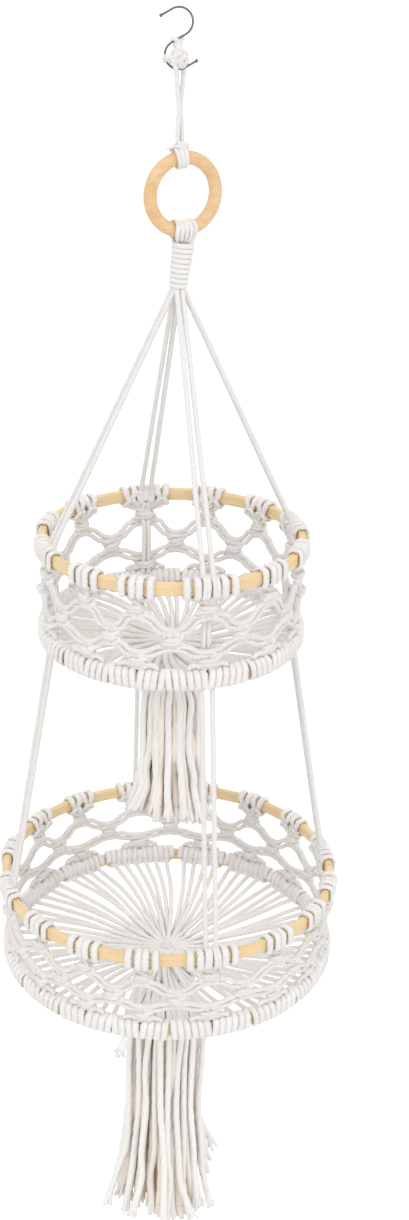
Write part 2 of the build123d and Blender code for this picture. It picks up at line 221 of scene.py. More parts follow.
def srgb(red, green, blue):
    """A colour as a shader wants it, from its three values of 0 to 255 on a screen."""
    levels = [value / 255 for value in (red, green, blue)]
    linear = [v / 12.92 if v <= 0.04045 else ((v + 0.055) / 1.055) ** 2.4 for v in levels]
    return (*linear, 1)


def connect(tree, node, inputs):
    """Gives a shader node's inputs their values or links."""
    for key, value in inputs.items():
        if isinstance(value, bpy.types.NodeSocket):
            tree.links.new(value, node.inputs[key])
        else:
            node.inputs[key].default_value = value


def add_node(tree, kind, inputs=None, **settings):
    """A new shader node with its settings and inputs."""
    node = tree.nodes.new(kind)
    for key, value in settings.items():
        setattr(node, key, value)
    connect(tree, node, inputs or {})
    return node


def new_material(name):
    """A material with a Principled shader, its tree and that shader."""
    material = bpy.data.materials.new(name)
    material.use_nodes = True
    tree = material.node_tree
    return material, tree, tree.nodes["Principled BSDF"]


def reckoned(tree, operation, first, second=0.0):
    """The result of a math node."""
    return add_node(tree, "ShaderNodeMath", {0: first, 1: second}, operation=operation).outputs[0]


def mixed(tree, share, first, second):
    """The result of mixing two colours."""
    inputs = {0: share, 6: first, 7: second}
    return add_node(tree, "ShaderNodeMix", inputs, data_type="RGBA").outputs[2]


def noise(tree, place, scale, detail, roughness=0.5, distortion=0.0):
    """The value of a noise texture."""
    inputs = {
        "Vector": place, "Scale": scale, "Detail": detail, "Roughness": roughness,
        "Distortion": distortion,
    }
    return add_node(tree, "ShaderNodeTexNoise", inputs).outputs[0]


def ranged(tree, value, low, high, start=0.0, end=1.0):
    """A value between start and end, spread over low to high."""
    inputs = {"Value": value, "From Min": start, "From Max": end, "To Min": low, "To Max": high}
    return add_node(tree, "ShaderNodeMapRange", inputs).outputs[0]


def bumped(tree, height, strength, distance):
    """The surface's direction with a fine relief."""
    inputs = {"Height": height, "Strength": strength, "Distance": distance}
    return add_node(tree, "ShaderNodeBump", inputs).outputs[0]


def cotton_material():
    """Unbleached twisted cotton: fibres along the cord, painted shade in its creases and on inner
    tassel strands, a soft sheen.
    """
    material, tree, shader = new_material("cotton_cord")
    uv = add_node(tree, "ShaderNodeUVMap", uv_map="UVMap").outputs[0]
    stretch = add_node(tree, "ShaderNodeMapping", {"Vector": uv, "Scale": (260, 26, 1)})
    fibres = noise(tree, stretch.outputs[0], 1.0, 4.0, 0.65)
    place = add_node(tree, "ShaderNodeTexCoord").outputs["Object"]
    blotches = noise(tree, place, 55.0, 2.0)
    tint, crease, shade = (
        add_node(tree, "ShaderNodeAttribute", attribute_name=name).outputs["Fac"]
        for name in ("tint", "crease", "shade")
    )
    colour = mixed(tree, tint, srgb(249, 248, 247), srgb(246, 241, 236))
    # Blotches and fibres are the cotton's own tone; the crease and shade tones are painted shade,
    # in the cord's creases and on inner strands.
    for value, most, tone in (
        (blotches, 0.3, srgb(246, 242, 239)), (fibres, 0.10, srgb(220, 212, 203)),
        (crease, 0.12, srgb(208, 198, 186)), (shade, 1.0, srgb(248, 224, 188)),
    ):
        colour = mixed(tree, reckoned(tree, "MULTIPLY", value, most), colour, tone)
    grain = noise(tree, place, 2600.0, 2.0)
    relief = reckoned(tree, "ADD", fibres, reckoned(tree, "MULTIPLY", grain, 0.5))
    connect(tree, shader, {
        "Base Color": colour, "Normal": bumped(tree, relief, 0.75, 0.0003), "Roughness": 0.95,
        "Specular IOR Level": 0.15, "Sheen Weight": 0.25, "Sheen Roughness": 0.6,
    })
    return material


def bamboo_material():
    """A bamboo strip bent round: fine grain round the hoop, satin, with one growth joint."""
    material, tree, shader = new_material("bamboo")
    place = add_node(tree, "ShaderNodeTexCoord").outputs["Object"]
    x, y, z = add_node(tree, "ShaderNodeSeparateXYZ", {0: place}).outputs
    turn = reckoned(tree, "ARCTAN2", y, x)
    planar = add_node(tree, "ShaderNodeCombineXYZ", {0: x, 1: y}).outputs[0]
    reach = add_node(tree, "ShaderNodeVectorMath", {0: planar}, operation="LENGTH").outputs["Value"]
    stretched = {
        axis: reckoned(tree, "MULTIPLY", value, scale)
        for axis, value, scale in ((0, turn, 4.0), (1, z, 1500.0), (2, reach, 900.0))
    }
    grain_place = add_node(tree, "ShaderNodeCombineXYZ", stretched).outputs[0]
    grain = noise(tree, grain_place, 1.0, 5.0, 0.6)
    clouds = noise(tree, place, 22.0, 3.0)
    half_turn = reckoned(tree, "MULTIPLY", turn, 0.5)
    joint = reckoned(tree, "ABSOLUTE", reckoned(tree, "SINE", half_turn))
    joint_line = reckoned(tree, "LESS_THAN", joint, 0.002)
    colour = mixed(tree, clouds, srgb(240, 217, 176), srgb(231, 202, 153))
    streaks = ranged(tree, grain, 0.0, 0.6, 0.45, 0.75)
    colour = mixed(tree, streaks, colour, srgb(206, 166, 110))
    colour = mixed(tree, reckoned(tree, "MULTIPLY", joint_line, 0.55), colour, srgb(176, 130, 78))
    connect(tree, shader, {
        "Base Color": colour, "Roughness": ranged(tree, grain, 0.36, 0.58),
        "Normal": bumped(tree, grain, 0.3, 0.0002),
    })
    return material


def ring_material():
    """A turned ring of pale wood, its grain straight across the ring."""
    material, tree, shader = new_material("ring_wood")
    place = add_node(tree, "ShaderNodeTexCoord").outputs["Object"]
    settled = add_node(tree, "ShaderNodeMapping", {
        "Vector": place, "Rotation": (0, radians(38), -ring_turned), "Scale": (60, 420, 420),
    }).outputs[0]
    figure = noise(tree, settled, 1.0, 5.0, 0.55, 0.4)
    pores = noise(tree, settled, 5.0, 3.0, 0.7)
    broad = noise(tree, place, 45.0, 2.0)
    colour = mixed(tree, broad, srgb(236, 206, 164), srgb(228, 190, 142))
    bands = ranged(tree, figure, 0.0, 0.75, 0.42, 0.68)
    colour = mixed(tree, bands, colour, srgb(220, 172, 114))
    specks = ranged(tree, pores, 0.0, 0.35, 0.6, 0.75)
    colour = mixed(tree, specks, colour, srgb(186, 136, 84))
    connect(tree, shader, {
        "Base Color": colour, "Roughness": ranged(tree, figure, 0.34, 0.52),
        "Normal": bumped(tree, figure, 0.2, 0.0002),
    })
    return material


def steel_material():
    """Dark drawn steel wire, a little scuffed."""
    material, tree, shader = new_material("hook_steel")
    place = add_node(tree, "ShaderNodeTexCoord").outputs["Object"]
    scuffs = noise(tree, place, 900.0, 4.0, 0.7)
    connect(tree, shader, {
        "Base Color": mixed(tree, scuffs, srgb(96, 96, 98), srgb(134, 133, 132)),
        "Roughness": ranged(tree, scuffs, 0.3, 0.5), "Metallic": 1.0,
    })
    return material


cotton = cotton_material()
bamboo = bamboo_material()
ring_wood = ring_material()
steel = steel_material()


def give(node, material):
    """A CAD piece that keeps its shape gets a better material."""
    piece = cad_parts[node]
    piece.data.materials.clear()
    piece.data.materials.append(material)
    for face in piece.data.polygons:
        face.material_index = 0


give("s_hook", steel)
give("wooden_ring", ring_wood)
for hoop in ("upper_rim_hoop", "upper_base_hoop", "lower_rim_hoop", "lower_base_hoop"):
    give(hoop, bamboo)


def smooth(points, step):
    """Evenly spaced rows along a smooth curve through the rows of points."""
    rows = np.asarray(points, float)
    rows = np.vstack([2 * rows[0] - rows[1], rows, 2 * rows[-1] - rows[-2]])
    a, b, c, d = (rows[i : len(rows) - 3 + i, None, :] for i in range(4))
    t = np.linspace(0, 1, 9)[None, :-1, None]
    curve = b + ((c - a) * t + (2 * a - 5 * b + 4 * c - d) * t**2) / 2
    curve = curve + (3 * b - a - 3 * c + d) * t**3 / 2
    curve = np.vstack([curve.reshape(-1, rows.shape[1]), rows[-2:-1]])
    along = np.linalg.norm(np.diff(curve[:, :3], axis=0), axis=1)
    along = np.concatenate([[0], np.cumsum(along)])
    count = max(3, int(round(along[-1] / step)) + 1)
    evenly = np.linspace(0, along[-1], count)
    return np.stack([np.interp(evenly, along, column) for column in curve.T], axis=1)


def wobbled(path, amount, wave):
    """The path with slow random sideways drift, none at its ends."""
    count = max(2, int(ceil(len(path) * fine_step / wave)))
    knots = chance.normal(0, amount, (count + 1, 3))
    knots[0] = knots[-1] = 0
    share = np.linspace(0, count, len(path))
    drift = np.stack([np.interp(share, range(count + 1), k) for k in knots.T], axis=1)
    moved = path.copy()
    moved[:, :3] += drift
    return moved


def sideways(tangents, side, start, held):
    """A direction square to each tangent: nearest to side if held, or else turning the least."""
    side = np.asarray(side, float)
    if held:
        normals = side - (tangents @ side)[:, None] * tangents
        return normals / np.linalg.norm(normals, axis=1)[:, None]
    normals = np.empty_like(tangents)
    if abs(side @ tangents[start]) > 0.98:
        side = np.roll(side, 1)
    for rows in (range(start, len(tangents)), range(start, -1, -1)):
        normal = side
        for i in rows:
            normal = normal - (normal @ tangents[i]) * tangents[i]
            normal = normal / sqrt(normal @ normal)
            normals[i] = normal
    return normals


class Cords:
    """Lengths of twisted cord gathered into one mesh."""

    def __init__(self):
        self.points, self.faces, self.uvs = [], [], []
        self.values = {"tint": [], "crease": [], "shade": []}
        self.count = 0

    def add(self, path, width=net_cord, depth=None, side=(0, 0, 1), side_at=None, held=False,
            turn=lay, shade=0.0):
        """One cord along a path. A path of five columns carries its own width and depth."""
        path = np.asarray(path, float)
        if path.shape[1] == 5:
            width, depth = path[:, 3], path[:, 4]
        else:
            width = np.broadcast_to(width, len(path))
            depth = width if depth is None else np.broadcast_to(depth, len(path))
        path = path[:, :3]
        tangents = np.gradient(path, axis=0)
        tangents /= np.linalg.norm(tangents, axis=1)[:, None]
        start = 0
        if side_at is not None:
            start = int(np.argmin(np.linalg.norm(path - side_at, axis=1)))
        normals = sideways(tangents, side, start, held)
        across = np.cross(tangents, normals)
        along = np.linalg.norm(np.diff(path, axis=0), axis=1)
        along = np.concatenate([[0], np.cumsum(along)])
        phase = chance.random() * tau
        corner = np.arange(sides)
        angle = phase + along[:, None] * tau / turn + corner * tau / sides
        crease = (corner % 3 == 0) * 1.0
        reach = 1 - (1 - crease_share) * crease
        x = (np.cos(angle) * reach) * width[:, None] / 2
        y = (np.sin(angle) * reach) * depth[:, None] / 2
        rings = path[:, None] + normals[:, None] * x[..., None] + across[:, None] * y[..., None]
        rows = len(path)
        caps = path[[0, -1]]
        self.points.append(np.vstack([rings.reshape(-1, 3), caps]))
        base = self.count
        grid = base + np.arange(rows * sides).reshape(rows, sides)
        after = np.roll(grid, -1, axis=1)
        quads = np.stack([grid[:-1], after[:-1], after[1:], grid[1:]], axis=-1).reshape(-1, 4)
        self.faces += quads.tolist()
        first, last = base + rows * sides, base + rows * sides + 1
        self.faces += [[first, int(after[0, k]), int(grid[0, k])] for k in corner]
        self.faces += [[last, int(grid[-1, k]), int(after[-1, k])] for k in corner]
        u = np.repeat(along[:, None], sides + 1, axis=1) + phase
        v = np.repeat(np.linspace(0, 1, sides + 1)[None], rows, axis=0) + phase
        uv = np.stack([u, v], axis=-1)
        corners = [uv[:-1, :-1], uv[:-1, 1:], uv[1:, 1:], uv[1:, :-1]]
        self.uvs.append(np.stack(corners, axis=2).reshape(-1, 2))
        self.uvs.append(np.zeros((2 * sides * 3, 2)))
        total = rows * sides + 2
        # Point values for the colour: a random tint, and crease and shade, the shares of painted
        # shade.
        shade = np.broadcast_to(shade, rows)
        self.values["tint"].append(np.full(total, chance.random()))
        self.values["crease"].append(np.append(np.tile(crease, rows), [0, 0]))
        self.values["shade"].append(np.append(np.repeat(shade, sides), shade[[0, -1]]))
        self.count += total

    def run(self, points, width=net_cord, step=fine_step, **how):
        """One cord along a smooth curve through the points."""
        self.add(smooth(points, step), width, **how)

    def piece(self, name):
        """The cords as one piece of cotton."""
        mesh = bpy.data.meshes.new(name)
        mesh.from_pydata(np.vstack(self.points), [], self.faces)
        mesh.uv_layers.new(name="UVMap").data.foreach_set("uv", np.vstack(self.uvs).ravel())
        for key, values in self.values.items():
            layer = mesh.attributes.new(key, "FLOAT", "POINT")
            layer.data.foreach_set("value", np.concatenate(values).astype(np.float32))
        mesh.polygons.foreach_set("use_smooth", np.ones(len(mesh.polygons), bool))
        mesh.materials.append(cotton)
        mesh.update()
        piece = bpy.data.objects.new(name, mesh)
        bpy.context.scene.collection.objects.link(piece)
        return piece


def polar(radius, angle, height):
    """A point at a radius and angle about the hanging axis."""
    return (radius * cos(angle), radius * sin(angle), height)


class Tier:
    """One basket: its places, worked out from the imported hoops."""

    def __init__(self, name, regulars, base_cords, tassel_lean, near_gaps, off_even):
        self.name, self.regulars, self.base_cords = name, regulars, base_cords
        self.tassel_lean = tassel_lean
        low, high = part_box(f"{name}_rim_hoop")
        self.rim, self.rim_radius = (low.z + high.z) / 2, high.x - hoop_thickness / 2
        low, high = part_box(f"{name}_base_hoop")
        self.base, self.base_radius = (low.z + high.z) / 2, high.x - hoop_thickness / 2
        self.depth = self.rim - self.base
        self.clusters = hanger_pairs * (regulars + 1)
        loop_turn = wrap_loop_pitch / self.base_radius
        loops = hanger_pairs * (wide_loops + regulars * regular_loops)
        gap_turn = (tau - loops * loop_turn) / self.clusters
        first = (wide_loops + regular_loops) / 2 * loop_turn + gap_turn
        following = regular_loops * loop_turn + gap_turn
        within = [0] + [first + i * following for i in range(regulars)]
        even = [pair * quarter + turn for pair in range(hanger_pairs) for turn in within]
        self.centres = [hanger_angle + a + radians(b) for a, b in zip(even, off_even)]
        counts = [wide_loops if self.wide(i) else regular_loops for i in range(self.clusters)]
        starts, ends = [0.0] * self.clusters, [0.0] * self.clusters
        for i, centre in enumerate(self.centres):
            after = (i + 1) % self.clusters
            between = (self.centres[after] - centre) % tau
            edge = centre + between * counts[i] / (counts[i] + counts[after])
            gap = closed_gap + near_gap * near_gaps[i % len(near_gaps)]
            gap += far_gap * max(0, sin(edge))
            ends[i] = edge - gap / 2 / self.base_radius
            starts[after] = edge + gap / 2 / self.base_radius
        self.wraps = [(count, a, a + (b - a) % tau) for count, a, b in zip(counts, starts, ends)]
        self.top_row = hoop_skin + rim_strand_drop + knot_reach
        self.bottom_row = self.depth - hoop_skin - row_clearance - knot_reach
        self.middle_row = self.top_row + (self.bottom_row - self.top_row) * middle_row_share

    def wide(self, cluster):
        """Whether a cluster has a pair of hangers in it."""
        return cluster % (self.regulars + 1) == 0

    def pair_angle(self, pair):
        """Where a pair of hangers is."""
        return self.centres[pair * (self.regulars + 1)]

    def wall(self, angle, along, drop, out=0.0):
        """A point of the net, along its wall from an angle, below the rim and out from the wall."""
        radius = self.rim_radius + (self.base_radius - self.rim_radius) * drop / self.depth
        return polar(radius + out, angle + along / radius, self.rim - drop)

    def rim_places(self):
        """Where loops sit along the rim, from a cluster's centre."""
        crowding = self.rim_radius / (self.rim_radius - hoop_side)
        lark = hitch_width + hitch_opening
        regular = crowding * (hitch_width + loop_gap) / 2
        hanger = crowding * (hanger_hitch_width + loop_gap) / 2
        wide = 3 * hanger + crowding * ((hanger_hitch_width + hitch_width) / 2 + loop_gap)
        return (regular, regular + lark), (hanger, 3 * hanger), (wide, wide + lark)


# How many degrees each cluster of hitches sits from its even place, tied by hand
upper_off_even = (0, -1.7, 0, -1.8, 0, 3.5, 4.7, 4.6, 2.7, 1.2, 0, 0)
lower_off_even = (-3.5, -4.5, -4, -3.5, -3.4, -3.5, -3, 0, 2.5, 2, 2, 1.8, 0, 0, -0.5, -2)
upper = Tier("upper", 2, 48, 0, near_gaps=(1, 0, 0), off_even=upper_off_even)
lower = Tier("lower", 3, 72, 0.0025, near_gaps=(1, 0.6, 0, 1), off_even=lower_off_even)

# Where the working and the core cords enter a knot, across and up, and their ways through it,
# across, out and up, as shares of its reach. A left working cord goes in front and back behind.
outer_shares = (1.14, 0.74)
inner_shares = (0.62, 1.16)
working_shares = (
    (-outer_shares[0], 0.00, outer_shares[1]), (-0.62, 0.34, 0.30), (0.00, 0.66, 0.26),
    (0.62, 0.46, 0.18), (0.80, 0.02, 0.00), (0.62, -0.40, -0.12), (0.00, -0.60, -0.22),
    (-0.62, -0.34, -0.30), (-outer_shares[0], 0.00, -outer_shares[1]),
)
core_shares = (
    (-inner_shares[0], 0.0, inner_shares[1]), (-0.20, 0.05, 0.36), (-0.20, 0.05, -0.36),
    (-inner_shares[0], 0.0, -inner_shares[1]),
)


def through_knot(tier, angle, drop, shares, side, swing, back=1.0, stretch=1.0):
    """A cord's points through a knot: side -1 is one of the left, swing 1 starts in front."""
    places = []
    for across, out, up in shares:
        jitter = chance.normal(0, knot_jitter, 3)
        out = swing * out * knot_reach
        at = tier.wall(
            angle,
            -side * across * knot_reach * stretch + jitter[0],
            drop - up * knot_reach + jitter[1],
            (out if out > 0 else out * back) + jitter[2],
        )
        places.append((*at, net_cord * knot_fullness, net_cord))
    return places


def between_knots(tier, start_angle, start, end_angle, end, bow):
    """Points of a link between two knots, bowed aside. start and end are along and drop."""
    across = (end_angle - start_angle) * tier.rim_radius + end[0] - start[0]
    down = end[1] - start[1]
    aside = bow * abs(across) / hypot(across, down)
    places = []
    for share in link_shares:
        drop = start[1] + down * share + aside * sin(pi * share)
        at = tier.wall(start_angle, start[0] + across * share, drop)
        places.append((*at, net_cord, net_cord))
    return places


def hitch_points(tier, angle, middle, place, entry):
    """A lark's head's loop round the rim, from its bar on the inside to where it hangs down."""
    hang = middle + (place - middle) * hang_share
    leg = place + (leg_out if place > middle else -leg_out)
    bar = middle + (place - middle) * bar_share
    side, rise = flat_side, flat_rise
    # Along the rim, out and up from the hoop's middle, and the width as a share of the cord's
    shape = (
        (middle, -side - 0.0020, -0.0016, 0.7), (bar, -side - 0.0020, -0.0018, 0.7),
        (leg, -side - 0.0004, -rise + 0.0016, 0.7), (leg, -side + 0.0014, -rise - 0.0003, 0.85),
        (place, 0.0004, -rise - 0.0002, 1), (place, side - 0.0009, -rise + 0.0008, 1.02),
        (place, side, -rise + 0.0032, 1.05), (place, side + 0.0001, 0, 1.05),
        (place, side, rise - 0.0030, 1.05), (place, side - 0.0010, rise - 0.0008, 1.02),
        (place, 0.0003, rise, 1), (place, -side + 0.0012, rise - 0.0008, 1),
        (place, -side, rise - 0.0034, 1), (hang, -side, 0, 0.85),
        (hang, -side, -rise + 0.0020, 0.75),
    )
    points = []
    for along, out, up, share in shape:
        at = polar(tier.rim_radius + out, angle + along / tier.rim_radius, tier.rim + up)
        points.append((*at, flat_width * share, flat_depth))
    at = tier.wall(angle, entry, hoop_skin + entry_drop, -entry_depth)
    points.append((*at, net_cord, net_cord))
    return points


def net(tier):
    """Every net cord of a tier, from its hitch on the rim through three knots to the base hoop."""
    cords = Cords()
    regular, hanger, wide = tier.rim_places()
    foot_drop = tier.depth - hoop_skin - net_cord * 0.4
    for cluster, angle in enumerate(tier.centres):
        is_wide = tier.wide(cluster)
        near, far = wide if is_wide else regular
        middle = (near + far) / 2
        back = wide_knot_back if is_wide and tier is upper else 1.0
        stretch = wide_knot if is_wide else 1.0
        for side in (-1, 1):
            other = tier.centres[(cluster + side) % tier.clusters]
            gap = (side * (other - angle)) % tau
            between = angle + side * gap / 2
            outer_in, inner_in = (
                (side * across * knot_reach, up * knot_reach)
                for across, up in (outer_shares, inner_shares)
            )
            for working, place in ((True, far), (False, near)):
                if working:
                    entry = side * place * working_entry_share
                    own, crossed, leave, arrive = working_shares, core_shares, outer_in, inner_in
                    swing, swing_crossed, bow, foot = -side, 1, -link_bow, side * foot_reach
                else:
                    entry = side * place * core_entry_share
                    own, crossed, leave, arrive = core_shares, working_shares, inner_in, outer_in
                    swing, swing_crossed, bow = 1, side, link_bow
                    foot = side * foot_reach * core_foot_share
                points = hitch_points(tier, angle, side * middle, side * place, entry)
                side_at = np.array(points[7][:3])
                points += through_knot(
                    tier, angle, tier.top_row, own[1:], -side, swing, back, stretch
                )
                points += between_knots(
                    tier, angle, (leave[0] * stretch, tier.top_row + leave[1]),
                    between, (-arrive[0], tier.middle_row - arrive[1]), bow,
                )
                points += through_knot(tier, between, tier.middle_row, crossed, side, swing_crossed)
                points += between_knots(
                    tier, between, (-arrive[0], tier.middle_row + arrive[1]),
                    angle, (leave[0] * stretch, tier.bottom_row - leave[1]), -bow,
                )
                points += through_knot(
                    tier, angle, tier.bottom_row, own, -side, swing, back, stretch
                )
                for share, rise, out in ((0.62, 0.0016, 0.0008), (1, -0.0010, 0.0006)):
                    at = tier.wall(angle, foot * share, foot_drop - rise, out)
                    points.append((*at, net_cord, net_cord))
                along_hoop = polar(1, angle + pi / 2, 0)
                cords.run(points, step=net_step, side=along_hoop, side_at=side_at)
        if is_wide:
            for place in (*hanger, *(-along for along in hanger)):
                way = (
                    (1, hoop_skin - 0.0030, -0.0030), (0.8, hoop_skin + 0.0005, -0.0012),
                    (0.5, tier.top_row - knot_reach * 0.5, -0.0004),
                    (0.4, tier.top_row + knot_reach * 0.6, 0.0002),
                )
                cords.run([tier.wall(angle, place * share, drop, out) for share, drop, out in way])
    piece = cords.piece(f"{tier.name}_net")
    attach(piece, f"{tier.name}_basket")
    names = (
        "rim_hitches", "top_knots", "middle_knots", "bottom_knots", "upper_links", "lower_links",
        "rim_strands", "foot_strands",
    )
    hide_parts(*[f"{tier.name}_{name}" for name in names])


def round_section(radius, height, angle, along, start_turn, width):
    """Points of a flat cord wound round a hoop's section, drifting along the hoop."""
    points = []
    total = int(round(section_steps * wrap_turns))
    for i in range(total + 1):
        turn = start_turn + tau * i / section_steps
        x, z = cos(turn), sin(turn)
        swell = (abs(x) ** section_power + abs(z) ** section_power) ** (-1 / section_power)
        drift = along[0] + (along[1] - along[0]) * i / total
        out, up = flat_side * x * swell, flat_rise * z * swell
        at = polar(radius + out, angle + drift / radius, height + up)
        points.append((*at, width, flat_depth))
    return points


def base_wraps(tier):
    """The net's cords wound twice each round the base hoop."""
    cords = Cords()
    radius = tier.base_radius
    exits = []
    for count, start, end in tier.wraps:
        angle = (start + end) / 2
        pitch = (end - start) * radius / count
        for j in range(count // 2):
            centre = (2 * j + 1 - count / 2) * pitch
            drift = (-1 if centre < 0 else 1) * pitch * wrap_turns / 2
            tilt = chance.normal(0, wrap_jitter, 2)
            ends = (centre - drift * wrap_lead + tilt[0], centre + drift * wrap_trail + tilt[1])
            points = round_section(
                radius, tier.base, angle, ends, wrap_start, pitch * wrap_fullness
            )
            cords.run(points, side=polar(1, angle + pi / 2, 0), held=True)
            exits.append(angle + centre / radius)
    piece = cords.piece(f"{tier.name}_base_wraps_cords")
    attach(piece, f"{tier.name}_basket")
    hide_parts(f"{tier.name}_base_wraps")
    return exits


def hanger_hitches(tier):
    """Each hanger's two hitches on the rim."""
    cords = Cords()
    places = tier.rim_places()[1]
    for pair, side in each_hanger:
        angle = tier.pair_angle(pair)
        along = (side * places[1] * 1.2, side * places[0] * 0.5)
        points = round_section(
            tier.rim_radius, tier.rim, angle, along, hitch_start, hanger_hitch_band
        )
        cords.run(points, side=polar(1, angle + pi / 2, 0), held=True)
    piece = cords.piece(f"{tier.name}_hanger_hitch_cords")
    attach(piece, f"{tier.name}_basket")
    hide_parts(f"{tier.name}_hanger_hitches")


def base_floor(tier, exits):
    """The cords that run from the base hoop to the middle, and the bunch where they turn down."""
    cords, crown = Cords(), Cords()
    low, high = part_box(f"{tier.name}_base_crown")
    inner = high.x * crown_share
    drop_end = low.z + 0.001
    outer = tier.base_radius - hoop_thickness / 2 - floor_gap
    for k, angle in enumerate(sorted(exits)):
        layer = k % base_layers
        at_middle = k * tau / len(exits) + hanger_angle
        angle_end = angle + ((at_middle - angle + pi) % tau - pi) * floor_turn_share
        height = tier.base - base_sag - layer * layer_pitch
        reach = inner * (reach_share - layer * layer_reach_share)
        points = [
            polar(outer + 0.0015, angle, tier.base - 0.0028),
            polar(outer - 0.006, angle, tier.base - 0.0022),
        ]
        for share in (0.35, 0.65, 0.9):
            radius = outer + (reach - outer) * share
            turn = angle + (angle_end - angle) * share
            fall = (height - tier.base + floor_drop) * share**floor_sag_power
            jitter = chance.normal(0, floor_jitter)
            points.append(polar(radius, turn, tier.base - floor_drop + fall + jitter))
        points.append(polar(reach + 0.002, angle_end, height))
        cords.add(wobbled(smooth(points, coarse_step), floor_drift, floor_wave), floor_cord)
        halfway = min(height - 0.004, (height + drop_end) / 2)
        bend = (
            (reach + 0.006, height + 0.0004), (reach + 0.002, height - 0.0002),
            (reach * 0.9, height - 0.0016), (reach * 0.82, halfway),
            (reach * 0.8, drop_end - 0.004),
        )
        crown.run([polar(radius, angle_end, z) for radius, z in bend], floor_cord)
    piece = cords.piece(f"{tier.name}_floor_cords")
    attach(piece, f"{tier.name}_basket")
    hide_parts(f"{tier.name}_base_cords")
    piece = crown.piece(f"{tier.name}_crown_cords")
    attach(piece, f"{tier.name}_basket")
    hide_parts(f"{tier.name}_base_crown")


def frayed(cords, path, width, count, reach, shade=0.0, fullness=0.62):
    """The loose yarns at a cord's cut end."""
    tip, before = path[-1, :3], path[-4, :3]
    direction = (tip - before) / np.linalg.norm(tip - before)
    side = np.cross(direction, (0.3, 0.9, 0.1))
    side /= np.linalg.norm(side)
    other = np.cross(direction, side)
    for i in range(count):
        angle = tau * i / count + chance.random()
        away = side * cos(angle) + other * sin(angle)
        length = reach * (0.6 + 0.5 * chance.random())
        spread = width * (0.05 + 0.4 * chance.random())
        points = [
            tip - direction * width * 1.2 + away * width * 0.16,
            tip + away * width * 0.26,
            tip + direction * length * 0.5 + away * (width * 0.28 + spread * 0.4),
            tip + direction * length + away * (width * 0.28 + spread),
        ]
        rows = smooth(points, coarse_step)
        thick = width * fullness * np.linspace(1.0, 0.7, len(rows))
        cords.add(rows, thick, turn=loose_lay, shade=shade)


def short_end(cords, points, width, count, reach, turn=lay, fullness=0.62):
    """A short end of cord, cut and frayed."""
    path = smooth(points, fine_step)
    cords.add(path, width, turn=turn)
    frayed(cords, path, width, count, reach, fullness=fullness)


def tassel(tier):
    """The tied neck under a tier and its cords' free ends."""
    name = tier.name
    low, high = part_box(f"{name}_tassel_neck")
    neck_radius, neck_top, neck_bottom = high.x, high.z, low.z
    low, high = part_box(f"{name}_tassel")
    end, reach = low.z, (high.x - low.x) / 2
    tie_low, tie_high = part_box(f"{name}_tassel_tie")
    cords, neck, count = Cords(), Cords(), tier.base_cords
    for k in range(count):
        share = sqrt((k + 0.5) / count)
        angle = k * golden_angle
        ragged = ragged_share * ((k * 0.618) % 1) + ragged_chance * chance.random()
        full = (neck_bottom - end) * (1 - ragged) - fray_reach * 0.8
        full -= front_trim * share * max(0, -sin(angle))
        top_radius = (neck_radius - net_cord / 2) * share
        spread = (reach - tassel_cord / 2) * (1 - 0.3 * ragged) * (0.96 + 0.14 * chance.random())
        points = [polar(top_radius, angle, neck_bottom + 0.004)]
        lean = chance.normal(0, strand_twist)
        splay = splay_least + splay_more * chance.random()
        for down in (0.04, 0.15, 0.35, 0.55, 0.75, 0.88, 1.0):
            flare = flare_share * min(1, down / flare_end) + flare_taper * down
            flare += splay * down**splay_power
            radius = top_radius + (spread * share - top_radius) * flare
            radius += chance.normal(0, strand_jitter) * min(1, down * 3)
            turn = angle + lean * down + chance.normal(0, strand_turn_jitter)
            x, y, z = polar(radius, turn, neck_bottom - full * down)
            points.append((x - tier.tassel_lean * min(1, down * 3), y, z))
        path = smooth(points, coarse_step)
        # hidden grows towards the tassel's middle: inner strands are drawn wider, and their colour
        # gets painted shade, a tan tone.
        hidden = np.clip((hidden_within - share) * hidden_rate, 0, hidden_most)
        widths = tassel_cord * (1 + hidden_share * hidden) * np.linspace(0.95, 1.10, len(path))
        cords.add(path, widths, turn=loose_lay, shade=hidden)
        frayed(cords, path, tassel_cord * 1.12, 8, fray_reach, hidden * hidden_share)
        top = []
        for part in (0.3, 0.6, 0.85, 1.0):
            fall = max(0, top_radius * part - neck_dome) * tan(neck_shoulder_slope)
            height = neck_top - neck_dome_drop - fall - net_cord * 0.55
            top.append(polar(top_radius * part, angle, height))
        top.append(polar(top_radius, angle, neck_bottom - 0.002))
        neck.run(top, step=coarse_step, shade=hidden * hidden_share)
    tie_radius = tie_high.x - thin_cord / 2
    tie_fall = tie_high.z - tie_low.z - thin_cord
    rows = []
    for i in range(int(tie_turns * turn_steps) + 1):
        height = tie_high.z - thin_cord / 2 - tie_fall * i / (tie_turns * turn_steps)
        rows.append(polar(tie_radius, tau * i / turn_steps, height))
    neck.run(rows, thin_cord * 1.08)
    piece = cords.piece(f"{name}_tassel_cords")
    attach(piece, f"{name}_tassel")
    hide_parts(f"{name}_tassel")
    piece = neck.piece(f"{name}_tassel_neck_cords")
    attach(piece, f"{name}_tassel")
    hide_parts(f"{name}_tassel_neck", f"{name}_tassel_tie")


for tier in (upper, lower):
    net(tier)
    hanger_hitches(tier)
    base_floor(tier, base_wraps(tier))
    tassel(tier)


def stray_end():
    """The end of a cord that hangs out under the lower basket."""
    cords = Cords()
    under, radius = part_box("lower_base_hoop")[0].z, lower.base_radius
    points = [
        polar(radius - inward, radians(degrees), under + rise)
        for inward, degrees, rise in (
            (0.0010, 256.5, 0.0030), (0.0010, 256.2, -0.0055), (0.0014, 255.5, -0.0115),
            (0.0014, 254.6, -0.0170),
        )
    ]
    short_end(cords, points, stray_width, 16, stray_fray, loose_lay, 0.42)
    piece = cords.piece("stray_cord_end")
    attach(piece, "lower_basket")


stray_end()


